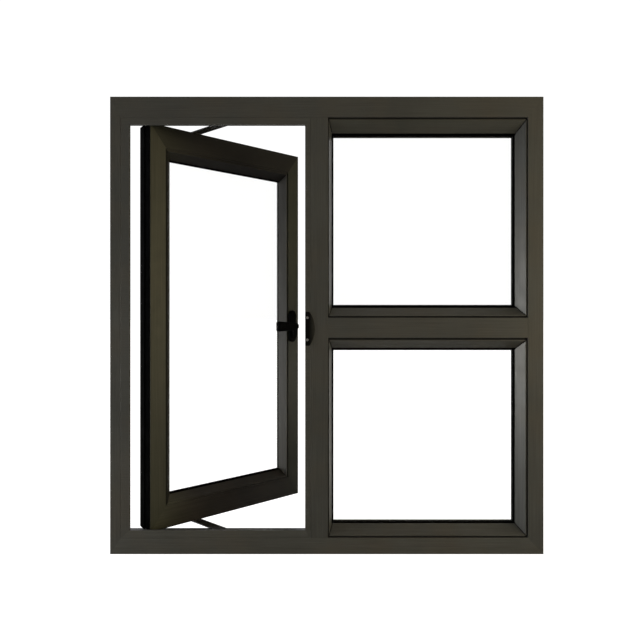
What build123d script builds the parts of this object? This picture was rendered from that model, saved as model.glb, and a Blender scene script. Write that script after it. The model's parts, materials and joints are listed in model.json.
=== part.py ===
from build123d import *
from dataclasses import dataclass
from math import cos, radians
import os

# Seen from the room: X to the right, Y outwards, Z up, zero at the middle of the sill's underside
# Outer frame
frame_width = 900
frame_height = 950
frame_depth = 50
head_face = 43
sill_face = 34
hinge_jamb_face = 22
lite_jamb_face = 32.5
mullion_face = 37
transom_face = 42
casement_bay = 393.5      # clear width from the hinge jamb to the mullion
transom_level = 470       # middle of the transom
frame_wall = 1.8
edge_radius = 0.8
groove_width = 23         # hardware and glazing groove in every frame bar
groove_depth = 7
fixing_radius = 4
fixing_pitch = 650

# Stops round the casement opening
stop_rail_width = 15.5
hinge_stop_width = 19
lock_stop_width = 10.5
stop_depth = 5.3
seal_rail_inset = 3.6     # from the stop's free edge to the seal
hinge_seal_inset = 7
lock_seal_inset = 3.6
seal_foot = 3
seal_foot_depth = 2
seal_bulb = 4.4
seal_gap = 1.3            # seal to the closed sash

# Double glazing
pane = 4
pane_space = 6
spacer_show = 2.5         # edge seal past the bead
sash_spacer_hide = 6.5    # edge seal behind the sash's bead
gasket = 3
gasket_seat = 4           # hidden behind the bead
gasket_lip = 3            # shows past the bead
outer_gasket_lip = 2.5
sash_gasket_lip = 1
gasket_bevel = 1.2
block_length = 80
block_inset = 90          # from the bar to the middle of the block

# Fixed lites
bead_depth = 22
bead_head_width = 29
bead_transom_width = 24
bead_sill_width = 22
bead_mullion_width = 9.5
bead_jamb_width = 19
bead_groove = 4           # shadow gap beside the bar, on the top bead
bead_groove_depth = 4
bead_land = 2             # flat beside the shadow gap, on the top bead
bead_step = 0.6           # bar face to bead face
bead_nose = 1.6
bead_wall = 1.4
outer_stop_rail_width = 17
outer_stop_side_width = 8
lite_rail_gap = 14        # frame bar to the edge of the glass
lite_side_gap = 5

# Sash
sash_rail_face = 46
sash_hinge_face = 33.5
sash_lock_face = 31.5
sash_wall = 1.8
sash_set_back = 8         # room face of the frame to the room face of the closed sash
sash_bead_depth = 20
sash_bead_width = 22      # on the rails; the stiles' follow the mitre
sash_leg = 21             # outer leg behind the glass
sash_leg_width = 6.5      # on the rails
sash_lip = 2              # thickness of the leg at its free edge
sash_slope = 10.5         # the outer face falls back by this, on the rails
sash_glass_gap = 1.5
hinge_gap = 6.7
lock_gap = 3
edge_seal_place = 12      # outside the stay's line
edge_seal_width = 4.5
edge_seal_height = 2.3
edge_seal_round = 1.8
hinge_strip = 1           # flat weather strip over the sash's hinge edge
hinge_strip_inset = 2     # from the sash's faces
strip_flap = 5.5          # its outer part stands up beside the stays

# Friction stays
open_angle = 37.5
link_length = 100         # both links of the stay
pivot_inset = 6.5         # sash edge to the shoe's pivot
running_gap = 0.4
turning_gap = 0.06        # pins in their bores
slide_gap = 0.3
fit_gap = 0.03
pin_radius = 3
shoulder_radius = 5
arm_width = 20
arm_thickness = 2.5
bar_width = 18
bar_thickness = 2.5
bar_tail = 60             # past the arm's pivot
bar_screw_pitch = 32
bar_screw_inset = 20
track_width = 19
track_drop = 2.6          # below the groove's lips
track_wall = 1.5
track_lip = 2.5
track_lip_thickness = 1.2
track_tail = 14           # past the fixed pivot
track_screw_pitch = 30
shoe_length = 24
rivet_head_radius = 4.6
rivet_head_depth = 1.1

# Screws
screw_radius = 2
screw_head_radius = 3.8
screw_head_depth = 2
stay_screw_length = 9
small_screw_radius = 1.5
small_head_radius = 2.8
small_head_depth = 1.5
keeper_screw_length = 5.2
handle_screw_length = 14

# Handle and keeper
handle_level = 468
handle_inset = 20         # sash edge to the spindle
base_width = 21
base_height = 79
base_thickness = 6
base_round = 2
base_screw_pitch = 62
boss_radius = 8.5
spindle_radius = 4.5
spindle_square = 6
spindle_in_base = 8.5
spindle_in_lever = 6.5
nose_width = 11
nose_thickness = 4
nose_hub_radius = 7
nose_reach = 27
lever_thickness = 8.5
lever_reach = 55
lever_hub_radius = 9
lever_tip_height = 25
lever_corner = 5
lever_round = 2.2
keeper_width = 20         # at its middle
keeper_flat = 9           # full thickness beside the stop's edge
keeper_edge = 0.8         # thickness at the bowed edge
keeper_end_width = 9
keeper_height = 70
keeper_plate = 2
keeper_rise = 1
keeper_land = 22
keeper_ramp = 6
keeper_corner = 2
keeper_screw_pitch = 46
keeper_screw_inset = 4.5
latch_gap = 0.5           # locked nose to the keeper

# Corner joints and drainage
cleat_arm = 55
connector_length = 40
drain_length = 30
drain_height = 5
drain_level = 12
cover_margin = 6
cover_thickness = 5
cover_wall = 1.5

# Places that follow from the sizes above
room_face = -frame_depth / 2
out_face = frame_depth / 2
glass_thickness = 2 * pane + pane_space
sash_depth = sash_bead_depth + gasket + glass_thickness + gasket + sash_leg
sash_room_face = room_face + sash_set_back
sash_out_face = sash_room_face + sash_depth
stay_gap = track_drop + running_gap + arm_thickness + running_gap + bar_thickness
groove_half = groove_width / 2
keeper_thickness = keeper_plate + keeper_rise


@dataclass
class Rect:
    left: float
    bottom: float
    right: float
    top: float

    def inset(self, side, rail):
        return self.trimmed(side, rail, side, rail)

    def trimmed(self, left, bottom, right, top):
        return Rect(self.left + left, self.bottom + bottom, self.right - right, self.top - top)

    def within(self, widths):
        return self.trimmed(widths["left"], widths["bottom"], widths["right"], widths["top"])

    @property
    def width(self):
        return self.right - self.left

    @property
    def height(self):
        return self.top - self.bottom


def by_side(top, bottom, left, right):
    return {"top": top, "bottom": bottom, "left": left, "right": right}


def sash_mitred(rail):
    """Widths round the sash whose corners lie on its mitres."""
    left = rail * sash_hinge_face / sash_rail_face
    right = rail * sash_lock_face / sash_rail_face
    return by_side(rail, rail, left, right)


frame_rect = Rect(-frame_width / 2, 0, frame_width / 2, frame_height)
daylight = frame_rect.trimmed(hinge_jamb_face, sill_face, lite_jamb_face, head_face)
mullion_left = daylight.left + casement_bay
mullion_right = mullion_left + mullion_face
transom_bottom = transom_level - transom_face / 2
transom_top = transom_level + transom_face / 2
casement_rect = Rect(daylight.left, daylight.bottom, mullion_left, daylight.top)
upper_rect = Rect(mullion_right, transom_top, daylight.right, daylight.top)
lower_rect = Rect(mullion_right, daylight.bottom, daylight.right, transom_bottom)
sash_rect = Rect(
    casement_rect.left + hinge_gap,
    casement_rect.bottom + stay_gap,
    casement_rect.right - lock_gap,
    casement_rect.top - stay_gap,
)
stop_rect = casement_rect.trimmed(hinge_stop_width, stop_rail_width, lock_stop_width, stop_rail_width)
frame_faces = by_side(head_face, sill_face, hinge_jamb_face, lite_jamb_face)
upper_bead_widths = by_side(bead_head_width, bead_transom_width, bead_mullion_width, bead_jamb_width)
lower_bead_widths = by_side(bead_transom_width, bead_sill_width, bead_mullion_width, bead_jamb_width)
outer_stop_widths = by_side(
    outer_stop_rail_width,
    outer_stop_rail_width,
    outer_stop_side_width,
    outer_stop_side_width,
)
sash_faces = sash_mitred(sash_rail_face)
sash_bead_widths = sash_mitred(sash_bead_width)
sash_leg_widths = sash_mitred(sash_leg_width)
sash_slopes = sash_mitred(sash_slope)
sash_daylight = sash_rect.within(sash_faces)

# The shoe's pivot moves along the track as the sash opens; the arm's pivot stays
closed_pivot_x = sash_rect.left + pivot_inset
fixed_pivot_x = closed_pivot_x + 2 * link_length
slide_x = 2 * link_length * (1 - cos(radians(open_angle)))
handle_x = sash_rect.right - handle_inset
nose_y = room_face - keeper_thickness - latch_gap

sides = ("top", "bottom", "left", "right")
written = {}


def save(name, *solids):
    shape = Compound(children=list(solids)) if len(solids) > 1 else solids[0]
    export_step(shape, f"parts/{name}.step")
    written[name] = sum(solid.volume for solid in solids)


def polygon(*points):
    return make_face(Polyline(*points, close=True))


def span(x0, x1, y0, y1):
    return Pos((x0 + x1) / 2, (y0 + y1) / 2) * Rectangle(x1 - x0, y1 - y0)


def block(x0, x1, y0, y1, z0, z1):
    return Pos((x0 + x1) / 2, (y0 + y1) / 2, (z0 + z1) / 2) * Box(x1 - x0, y1 - y0, z1 - z0)


def upright(shape, y0, y1):
    """A shape drawn on X and Z, thickened from y0 to y1."""
    return extrude(Plane.XZ.offset(-y0) * shape, -(y1 - y0))


def one(shape):
    return shape.solids()[0]


def bar_along(side, rect, section):
    """A bar on one side of rect: the section's x runs inwards from the edge, its y outwards."""
    if side == "top":
        plane = Plane((rect.left, 0, rect.top), x_dir=(0, 0, -1), z_dir=(1, 0, 0))
        length = rect.width
    elif side == "bottom":
        plane = Plane((rect.right, 0, rect.bottom), x_dir=(0, 0, 1), z_dir=(-1, 0, 0))
        length = rect.width
    elif side == "left":
        plane = Plane((rect.left, 0, rect.bottom), x_dir=(1, 0, 0), z_dir=(0, 0, 1))
        length = rect.height
    else:
        plane = Plane((rect.right, 0, rect.top), x_dir=(-1, 0, 0), z_dir=(0, 0, -1))
        length = rect.height
    return extrude(plane * section, length)


def mitre_outline(side, rect, inner):
    outer_corners = {
        "top": ((rect.left, rect.top), (rect.right, rect.top)),
        "bottom": ((rect.right, rect.bottom), (rect.left, rect.bottom)),
        "left": ((rect.left, rect.bottom), (rect.left, rect.top)),
        "right": ((rect.right, rect.top), (rect.right, rect.bottom)),
    }
    inner_corners = {
        "top": ((inner.right, inner.top), (inner.left, inner.top)),
        "bottom": ((inner.left, inner.bottom), (inner.right, inner.bottom)),
        "left": ((inner.left, inner.top), (inner.left, inner.bottom)),
        "right": ((inner.right, inner.bottom), (inner.right, inner.top)),
    }
    return polygon(*outer_corners[side], *inner_corners[side])


def mitred(side, rect, inner, section):
    """A bar cut at both ends on the lines from the outer to the inner corners."""
    outline = mitre_outline(side, rect, inner)
    reach = 2 * frame_depth
    return one(bar_along(side, rect, section) & upright(outline, -reach, reach))


def ring(outer, inner, y0, y1):
    hole = polygon(
        (inner.left, inner.bottom),
        (inner.right, inner.bottom),
        (inner.right, inner.top),
        (inner.left, inner.top),
    )
    body = polygon(
        (outer.left, outer.bottom),
        (outer.right, outer.bottom),
        (outer.right, outer.top),
        (outer.left, outer.top),
    )
    return one(upright(body - hole, y0, y1))


def is_side(side):
    return side in ("left", "right")


def frame_section(face, both_sides):
    """Three-chamber tube with a groove towards the opening, or towards both openings."""
    section = span(0, face, room_face, out_face)
    near = frame_wall
    if not both_sides:
        section = fillet(section.vertices().group_by(Axis.X)[0], edge_radius)
    section -= span(face - groove_depth, face, -groove_half, groove_half)
    if both_sides:
        section -= span(0, groove_depth, -groove_half, groove_half)
        near += groove_depth
    section -= span(near, face - groove_depth - frame_wall, -groove_half, groove_half)
    for y0, y1 in (
        (room_face + frame_wall, -groove_half - frame_wall),
        (groove_half + frame_wall, out_face - frame_wall),
    ):
        section -= span(frame_wall, face - frame_wall, y0, y1)
    return section


def hole_along_x(x0, x1, z, radius):
    drill = Cylinder(radius, x1 - x0, rotation=(0, 90, 0))
    return Pos((x0 + x1) / 2, 0, z) * drill


def countersunk(radius, head_radius, head_depth, length, gap=0):
    """A screw along +Z from its tip at -length to its flat head at zero; gap makes its hole."""
    head = Pos(0, 0, -head_depth / 2) * Cone(radius + gap, head_radius + gap, head_depth)
    shank = Pos(0, 0, -length / 2) * Cylinder(radius + gap, length)
    return one(head + shank)


def stay_screw(gap=0):
    return countersunk(screw_radius, screw_head_radius, screw_head_depth, stay_screw_length, gap)


def small_screw(length, gap=0):
    return countersunk(small_screw_radius, small_head_radius, small_head_depth, length, gap)


def mirrored(shape):
    """The same piece at the sill."""
    return mirror(shape, about=Plane.XY.offset((casement_rect.bottom + casement_rect.top) / 2))


def opened(shape):
    """A piece of the closed sash carried to the open pose."""
    swing = Pos(closed_pivot_x + slide_x, 0, 0) * Rot(0, 0, open_angle) * Pos(-closed_pivot_x, 0, 0)
    return swing * shape


# Levels of the stay under the head, from the groove's floor down to the sash
lip_z = casement_rect.top
floor_z = lip_z + groove_depth
track_mouth = lip_z - track_drop
arm_top = track_mouth - running_gap
arm_bottom = arm_top - arm_thickness
bar_top = arm_bottom - running_gap
bar_bottom = bar_top - bar_thickness
track_floor = floor_z - track_wall
track_left = daylight.left - groove_depth + slide_gap
track_right = fixed_pivot_x + track_tail
arm_pivot_x = closed_pivot_x + link_length
track_screw_places = tuple(fixed_pivot_x - track_screw_pitch * step for step in (1, 2, 3))
bar_screw_places = (
    closed_pivot_x + bar_screw_pitch,
    closed_pivot_x + 2 * bar_screw_pitch,
    arm_pivot_x + bar_tail - bar_screw_inset,
)


def pin(x, radius, z0, z1):
    return Pos(x, 0, (z0 + z1) / 2) * Cylinder(radius, z1 - z0)


def rounded_bar(x0, x1, width, z0, z1):
    """A flat strip with round ends whose centres are x0 and x1."""
    ends = pin(x0, width / 2, z0, z1) + pin(x1, width / 2, z0, z1)
    return one(ends + block(x0, x1, -width / 2, width / 2, z0, z1))


def track():
    inner_half = track_width / 2 - track_wall
    mouth_half = inner_half - track_lip
    body = block(track_left, track_right, -track_width / 2, track_width / 2, track_mouth, floor_z)
    lip_z0 = track_mouth + track_lip_thickness
    body -= block(track_left, track_right, -inner_half, inner_half, lip_z0, track_floor)
    body -= block(track_left, track_right, -mouth_half, mouth_half, track_mouth, lip_z0)
    for x in track_screw_places:
        body -= track_screw(x, fit_gap)
    body -= track_stud(fit_gap)
    return one(body)


def track_screw(x, gap=0):
    return Pos(x, 0, track_floor) * Rot(180, 0, 0) * stay_screw(gap)


def track_stud(gap=0):
    """Fixed pivot: riveted in the track, a shoulder under the arm and a pin through it."""
    rivet = pin(fixed_pivot_x, pin_radius + gap, track_floor, floor_z)
    if gap:
        return rivet
    shoulder = pin(fixed_pivot_x, shoulder_radius, arm_top + running_gap / 2, track_floor)
    swivel = pin(fixed_pivot_x, pin_radius, arm_bottom, track_floor)
    return one(rivet + shoulder + swivel)


def arm():
    body = rounded_bar(arm_pivot_x, fixed_pivot_x, arm_width, arm_bottom, arm_top)
    body -= pin(fixed_pivot_x, pin_radius + turning_gap, arm_bottom, arm_top)
    body -= arm_rivet(fit_gap)
    return one(body)


def arm_rivet(gap=0):
    """Countersunk in the arm, turning in the bar."""
    shank = pin(arm_pivot_x, pin_radius + gap, bar_bottom, arm_top)
    head = Cone(pin_radius + gap, rivet_head_radius + gap, rivet_head_depth)
    return one(shank + Pos(arm_pivot_x, 0, arm_top - rivet_head_depth / 2) * head)


def bar_screw(x, gap=0):
    return Pos(x, 0, bar_top) * stay_screw(gap)


def vent_bar():
    end = arm_pivot_x + bar_tail
    body = rounded_bar(closed_pivot_x, end, bar_width, bar_bottom, bar_top)
    for x in (closed_pivot_x, arm_pivot_x):
        body -= pin(x, pin_radius + turning_gap, bar_bottom, bar_top)
    for x in bar_screw_places:
        body -= bar_screw(x, fit_gap)
    return one(body)


def shoe():
    inner_half = track_width / 2 - track_wall
    neck_half = inner_half - track_lip - slide_gap
    x0 = closed_pivot_x - shoe_length / 2
    x1 = closed_pivot_x + shoe_length / 2
    lip_z0 = track_mouth + track_lip_thickness
    wide = inner_half - slide_gap
    body = block(x0, x1, -wide, wide, lip_z0 + slide_gap, track_floor - slide_gap)
    body += block(x0, x1, -neck_half, neck_half, track_mouth, lip_z0 + slide_gap)
    body = fillet(body.edges().filter_by(Axis.Z), edge_radius)
    body += pin(closed_pivot_x, shoulder_radius, bar_top + running_gap / 2, track_floor - slide_gap)
    body += pin(closed_pivot_x, pin_radius, bar_bottom, track_floor - slide_gap)
    return one(body)


def frame_bars():
    for side in sides:
        body = mitred(side, frame_rect, daylight, frame_section(frame_faces[side], False))
        if is_side(side):
            x = frame_rect.left if side == "left" else frame_rect.right
            for z in (frame_height / 2 - fixing_pitch / 2, frame_height / 2 + fixing_pitch / 2):
                body -= hole_along_x(x - frame_faces[side], x + frame_faces[side], z, fixing_radius)
        else:
            for x in track_screw_places:
                cut = track_screw(x, fit_gap)
                body -= cut if side == "top" else mirrored(cut)
        if side == "bottom":
            for x in drain_places():
                body -= drain_slot(x)
        name = {"top": "frame_head", "bottom": "frame_sill", "left": "left_jamb", "right": "right_jamb"}[side]
        save(name, one(body))
    mullion_rect = Rect(mullion_left, daylight.bottom, mullion_right, daylight.top)
    save("mullion", one(bar_along("left", mullion_rect, frame_section(mullion_face, True))))
    transom_rect = Rect(mullion_right, transom_bottom, daylight.right, transom_top)
    save("transom", one(bar_along("bottom", transom_rect, frame_section(transom_face, True))))


def drain_places():
    return (
        (casement_rect.left + casement_rect.right) / 2,
        lower_rect.left + lower_rect.width / 4,
        lower_rect.right - lower_rect.width / 4,
    )


def drain_slot(x):
    slot = Pos(x, drain_level) * SlotOverall(drain_length, drain_height)
    return upright(slot, out_face - 2 * frame_wall, out_face + frame_wall)


def drain_cover(x):
    """Moulded hood over a drain slot, open below."""
    half = drain_length / 2 + cover_margin
    bottom = drain_level - drain_height / 2 - cover_margin
    top = drain_level + drain_height / 2 + cover_margin
    y1 = out_face + cover_thickness
    hood = block(x - half, x + half, out_face, y1, bottom, top)
    hood = fillet(hood.edges().group_by(Axis.Y)[-1], cover_wall)
    room_half = half - cover_wall
    room = block(x - room_half, x + room_half, out_face, y1 - cover_wall, bottom, top - cover_wall)
    return one(hood - room)


def corner_cleats(rect, faces, wall, far_wall, y0, y1):
    """L-shaped blocks in the hollows of four mitred bars."""
    near = wall + slide_gap
    blocks = []
    for side, x, step_x in (("left", rect.left, 1), ("right", rect.right, -1)):
        for rail, z, step_z in (("bottom", rect.bottom, 1), ("top", rect.top, -1)):
            mitre = faces[side] / faces[rail]
            side_end = faces[side] - far_wall
            rail_end = faces[rail] - far_wall
            far_x = min(side_end, rail_end * mitre) - slide_gap
            far_z = min(rail_end, side_end / mitre) - slide_gap
            outline = (
                (near, near),
                (far_x + cleat_arm, near),
                (far_x + cleat_arm, far_z),
                (far_x, far_z),
                (far_x, far_z + cleat_arm),
                (near, far_z + cleat_arm),
            )
            corner = polygon(*((x + step_x * px, z + step_z * pz) for px, pz in outline))
            blocks.append(one(upright(corner, y0 + slide_gap, y1 - slide_gap)))
    return blocks


def bar_connectors():
    """Blocks that stand in a frame groove and reach into the end of the mullion or transom."""
    hollow = groove_depth + frame_wall + slide_gap
    half = groove_half - slide_gap
    blocks = []
    x0, x1 = (mullion_left + hollow, mullion_right - hollow)
    for z0, z1 in (
        (daylight.bottom - groove_depth, daylight.bottom + connector_length),
        (daylight.top - connector_length, daylight.top + groove_depth),
    ):
        blocks.append(one(block(x0, x1, -half, half, z0, z1)))
    z0, z1 = (transom_bottom + hollow, transom_top - hollow)
    for x0, x1 in (
        (mullion_right - groove_depth, mullion_right + connector_length),
        (daylight.right - connector_length, daylight.right + groove_depth),
    ):
        blocks.append(one(block(x0, x1, -half, half, z0, z1)))
    return blocks


def stop_section(width, seal_place):
    """Flat flange, rounded towards the opening, with a groove for the seal's foot."""
    y1 = room_face + stop_depth
    foot_half = seal_foot / 2
    section = span(0, width, room_face, y1)
    section = fillet(section.vertices().group_by(Axis.X)[-1], edge_radius)
    return section - span(seal_place - foot_half, seal_place + foot_half, y1 - seal_foot_depth, y1)


def seal_section(place):
    """A foot in the stop's groove and a bulb towards the sash."""
    y0 = room_face + stop_depth
    y1 = sash_room_face - seal_gap
    foot_half = seal_foot / 2 - fit_gap
    bulb = span(place - seal_bulb / 2, place + seal_bulb / 2, y0, y1)
    bulb = fillet(bulb.vertices().group_by(Axis.Y)[-1], (y1 - y0) / 2)
    return bulb + span(place - foot_half, place + foot_half, y0 - seal_foot_depth + fit_gap, y0)


def casement_stops():
    names = {"top": "top_stop", "bottom": "bottom_stop", "left": "hinge_side_stop", "right": "lock_side_stop"}
    rail = (stop_rail_width, stop_rail_width - seal_rail_inset)
    sizes = {
        "top": rail,
        "bottom": rail,
        "left": (hinge_stop_width, hinge_stop_width - hinge_seal_inset),
        "right": (lock_stop_width, lock_stop_width - lock_seal_inset),
    }
    seals = []
    for side in sides:
        width, place = sizes[side]
        body = mitred(side, casement_rect, stop_rect, stop_section(width, place))
        if side == "right":
            for z in keeper_screw_levels():
                body -= keeper_screw(z, fit_gap)
        save(names[side], one(body))
        seals.append(mitred(side, casement_rect, stop_rect, seal_section(place)))
    save("stop_seals", *seals)


def bead_section(width, groove, land, front, back):
    """A shadow gap and a flat land beside the bar, then a slope back to the glass."""
    inwards = 1 if back > front else -1
    nose = back - inwards * bead_nose
    outline = [(groove, front), (groove + land, front), (width, nose), (width, back), (0, back)]
    if groove:
        floor = front + inwards * bead_groove_depth
        outline += [(0, floor), (groove, floor)]
    return polygon(*outline)


def bead_hollow(width, groove, land, front, back):
    """The chamber of a bead, one wall inside its sloped part."""
    nose = back - bead_nose
    sloped = polygon((groove, front), (groove + land, front), (width, nose), (width, back), (groove, back))
    return offset(sloped, -bead_wall, kind=Kind.INTERSECTION)


def room_beads(rect, widths, front, back):
    found = {}
    for side in sides:
        share = widths[side] / widths["top"]
        sizes = (widths[side], bead_groove * share, bead_land * share, front, back)
        found[side] = mitred(side, rect, rect.within(widths), bead_section(*sizes) - bead_hollow(*sizes))
    return found


def outer_stops(rect, widths, front, back):
    found = []
    for side in sides:
        land = bead_land * widths[side] / widths["top"]
        section = bead_section(widths[side], 0, land, front, back)
        found.append(mitred(side, rect, rect.within(widths), section))
    return found


def glazing(y0, edge, inner):
    """Two panes cut to edge and the sealed spacer between them, out to inner, the room side at y0."""
    panes = []
    for y in (y0, y0 + pane + pane_space):
        panes.append(one(block(edge.left, edge.right, y, y + pane, edge.bottom, edge.top)))
    spacer = ring(edge, inner, y0 + pane, y0 + pane + pane_space)
    return panes, spacer


def gasket_ring(sight, y0, lip, lip_low):
    """Rubber frame between bead and glass, its lip bevelled on the bead's side."""
    outer = sight.inset(-gasket_seat, -gasket_seat)
    inner = sight.inset(lip, lip)
    body = ring(outer, inner, y0, y0 + gasket)
    face = body.faces().sort_by(Axis.Y)[0 if lip_low else -1]
    return one(chamfer(face.inner_wires()[0].edges(), gasket_bevel))


def fixed_lite(name, rect, bead_widths):
    glass_y = room_face + bead_depth + gasket
    stop_y = glass_y + glass_thickness + gasket
    sight = rect.within(bead_widths)
    inside = room_beads(rect, bead_widths, room_face + bead_step, room_face + bead_depth)
    for side in sides:
        save(f"{name}_{side}_bead", inside[side])
    outside = outer_stops(rect, outer_stop_widths, out_face, stop_y)
    edge = rect.inset(lite_side_gap, lite_rail_gap)
    panes, spacer = glazing(glass_y, edge, sight.inset(spacer_show, spacer_show))
    save(f"{name}_glass", *panes)
    inner = gasket_ring(sight, glass_y - gasket, gasket_lip, True)
    outer = gasket_ring(rect.within(outer_stop_widths), stop_y - gasket, outer_gasket_lip, False)
    save(f"{name}_gaskets", inner, outer)
    foot_half = groove_half - slide_gap
    blocks = []
    for x in (rect.left + block_inset, rect.right - block_inset):
        x0, x1 = (x - block_length / 2, x + block_length / 2)
        foot = block(x0, x1, -foot_half, foot_half, rect.bottom - groove_depth, rect.bottom)
        pad = block(x0, x1, glass_y, glass_y + glass_thickness, rect.bottom, rect.bottom + lite_rail_gap)
        blocks.append(one(foot + pad))
    return outside, spacer, blocks


def fixed_lites():
    stops, spacers, blocks = ([], [], [])
    for name, rect, bead_widths in (
        ("upper", upper_rect, upper_bead_widths),
        ("lower", lower_rect, lower_bead_widths),
    ):
        new_stops, spacer, new_blocks = fixed_lite(name, rect, bead_widths)
        stops += new_stops
        spacers.append(spacer)
        blocks += new_blocks
    save("outer_glazing_stops", *stops)
    save("fixed_spacers", *spacers)
    save("fixed_setting_blocks", *blocks)


def keeper_screw_levels():
    return (handle_level - keeper_screw_pitch / 2, handle_level + keeper_screw_pitch / 2)


def keeper_screw(z, gap=0):
    x = stop_rect.right + keeper_screw_inset
    return Pos(x, room_face - keeper_plate, z) * Rot(90, 0, 0) * small_screw(keeper_screw_length, gap)


def keeper_outline():
    """Straight along the stop's edge, bowed towards the mullion's middle."""
    half = keeper_height / 2
    x0 = stop_rect.right
    low_end = (x0 + keeper_end_width, handle_level - half)
    high_end = (x0 + keeper_end_width, handle_level + half)
    bow = ThreePointArc(high_end, (x0 + keeper_width, handle_level), low_end)
    straight = Polyline(low_end, (x0, handle_level - half), (x0, handle_level + half), high_end)
    return make_face(bow + straight)


def keeper():
    """Strike plate on the mullion, raised between its screws where the nose rides up, thinner to its bow."""
    half = keeper_height / 2
    land = keeper_land / 2
    plate = room_face - keeper_plate
    crest = room_face - keeper_thickness
    side_view = polygon(
        (room_face, handle_level - half),
        (plate, handle_level - half),
        (plate, handle_level - land - keeper_ramp),
        (crest, handle_level - land),
        (crest, handle_level + land),
        (plate, handle_level + land + keeper_ramp),
        (plate, handle_level + half),
        (room_face, handle_level + half),
    )
    x0 = stop_rect.right
    plan = polygon(
        (x0, room_face),
        (x0, crest),
        (x0 + keeper_flat, crest),
        (x0 + keeper_width, room_face - keeper_edge),
        (x0 + keeper_width, room_face),
    )
    outline = fillet(keeper_outline().vertices(), keeper_corner)
    body = extrude(Plane.YZ.offset(x0) * side_view, keeper_width)
    body &= upright(outline, crest, room_face)
    body &= extrude(Plane.XY.offset(handle_level - half) * plan, keeper_height)
    for z in keeper_screw_levels():
        body -= keeper_screw(z, fit_gap)
    return one(body)


def sash_section(face, leg_width, slope):
    """Two-chamber tube with a thin leg that holds the glass and a slope from the leg to the outer face."""
    y0 = sash_room_face
    y1 = sash_out_face
    leg_y = y1 - sash_leg
    leg_end = face + leg_width
    section = polygon(
        (0, y0),
        (face, y0),
        (face, leg_y),
        (leg_end, leg_y),
        (leg_end, leg_y + sash_lip),
        (face - slope, y1),
        (0, y1),
    )
    section = fillet(section.vertices().group_by(Axis.X)[0], edge_radius)
    rib_y = (y0 + y1) / 2
    section -= span(sash_wall, face - sash_wall, y0 + sash_wall, rib_y - sash_wall / 2)
    section -= span(sash_wall, face - slope - sash_wall, rib_y + sash_wall / 2, y1 - sash_wall)
    return section


def sash_bars():
    names = {
        "top": "sash_top_rail",
        "bottom": "sash_bottom_rail",
        "left": "sash_hinge_stile",
        "right": "sash_lock_stile",
    }
    inner = sash_daylight.within(sash_leg_widths)
    for side in sides:
        section = sash_section(sash_faces[side], sash_leg_widths[side], sash_slopes[side])
        body = mitred(side, sash_rect, inner, section)
        if side == "right":
            for z in handle_screw_levels():
                body -= handle_screw(z, fit_gap)
        if not is_side(side):
            for x in bar_screw_places:
                hole = bar_screw(x, fit_gap)
                body -= hole if side == "top" else mirrored(hole)
        save(names[side], opened(one(body)))


def sash_glazing():
    names = {
        "top": "sash_top_bead",
        "bottom": "sash_bottom_bead",
        "left": "sash_hinge_bead",
        "right": "sash_lock_bead",
    }
    glass_y = sash_room_face + sash_bead_depth + gasket
    sight = sash_daylight.within(sash_bead_widths)
    inside = room_beads(
        sash_daylight,
        sash_bead_widths,
        sash_room_face + bead_step,
        sash_room_face + sash_bead_depth,
    )
    for side in sides:
        save(names[side], opened(inside[side]))
    edge = sash_daylight.inset(sash_glass_gap, sash_glass_gap)
    panes, spacer = glazing(glass_y, edge, sight.inset(-sash_spacer_hide, -sash_spacer_hide))
    save("sash_glass", *(opened(sheet) for sheet in panes))
    save("sash_spacer", opened(spacer))
    inner = gasket_ring(sight, glass_y - gasket, sash_gasket_lip, True)
    leg_sight = sash_daylight.within(sash_leg_widths)
    outer = gasket_ring(leg_sight, glass_y + glass_thickness, sash_gasket_lip, False)
    save("sash_gaskets", opened(inner), opened(outer))
    blocks = []
    bottom = sash_daylight.bottom
    for x in (sash_daylight.left + block_inset, sash_daylight.right - block_inset):
        x0, x1 = (x - block_length / 2, x + block_length / 2)
        pad = block(x0, x1, glass_y, glass_y + glass_thickness, bottom, bottom + sash_glass_gap)
        blocks.append(opened(one(pad)))
    save("sash_setting_blocks", *blocks)


def sash_inner_pieces():
    rib_y = (sash_room_face + sash_out_face) / 2
    cleats = corner_cleats(
        sash_rect,
        sash_faces,
        sash_wall,
        sash_slope + sash_wall,
        rib_y + sash_wall / 2,
        sash_out_face - sash_wall,
    )
    save("sash_corner_cleats", *(opened(piece) for piece in cleats))


def edge_seal():
    """Half-round strips on the sash's edges, outside the stay; the hinge edge's has a base and flaps."""
    strip = span(-edge_seal_height, 0, edge_seal_place, edge_seal_place + edge_seal_width)
    strip = fillet(strip.vertices().group_by(Axis.X)[0], edge_seal_round)
    base_end = sash_out_face - hinge_strip_inset
    base = span(-hinge_strip, 0, sash_room_face + hinge_strip_inset, base_end)
    flap = span(-hinge_strip, 0, edge_seal_place, base_end)
    flap_rect = sash_rect.inset(0, -strip_flap)
    strips = []
    for side in sides:
        body = bar_along(side, sash_rect, strip)
        if side == "left":
            body += bar_along(side, sash_rect, base) + bar_along(side, flap_rect, flap)
        strips.append(opened(one(body)))
    return strips


def handle_screw_levels():
    return (handle_level - base_screw_pitch / 2, handle_level + base_screw_pitch / 2)


def handle_screw(z, gap=0):
    place = Pos(handle_x, sash_room_face - base_thickness, z)
    return place * Rot(90, 0, 0) * small_screw(handle_screw_length, gap)


def handle_plane(y):
    """Looks out of the sash's room face at the spindle."""
    return Plane((handle_x, y, handle_level), x_dir=(1, 0, 0), z_dir=(0, -1, 0))


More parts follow.
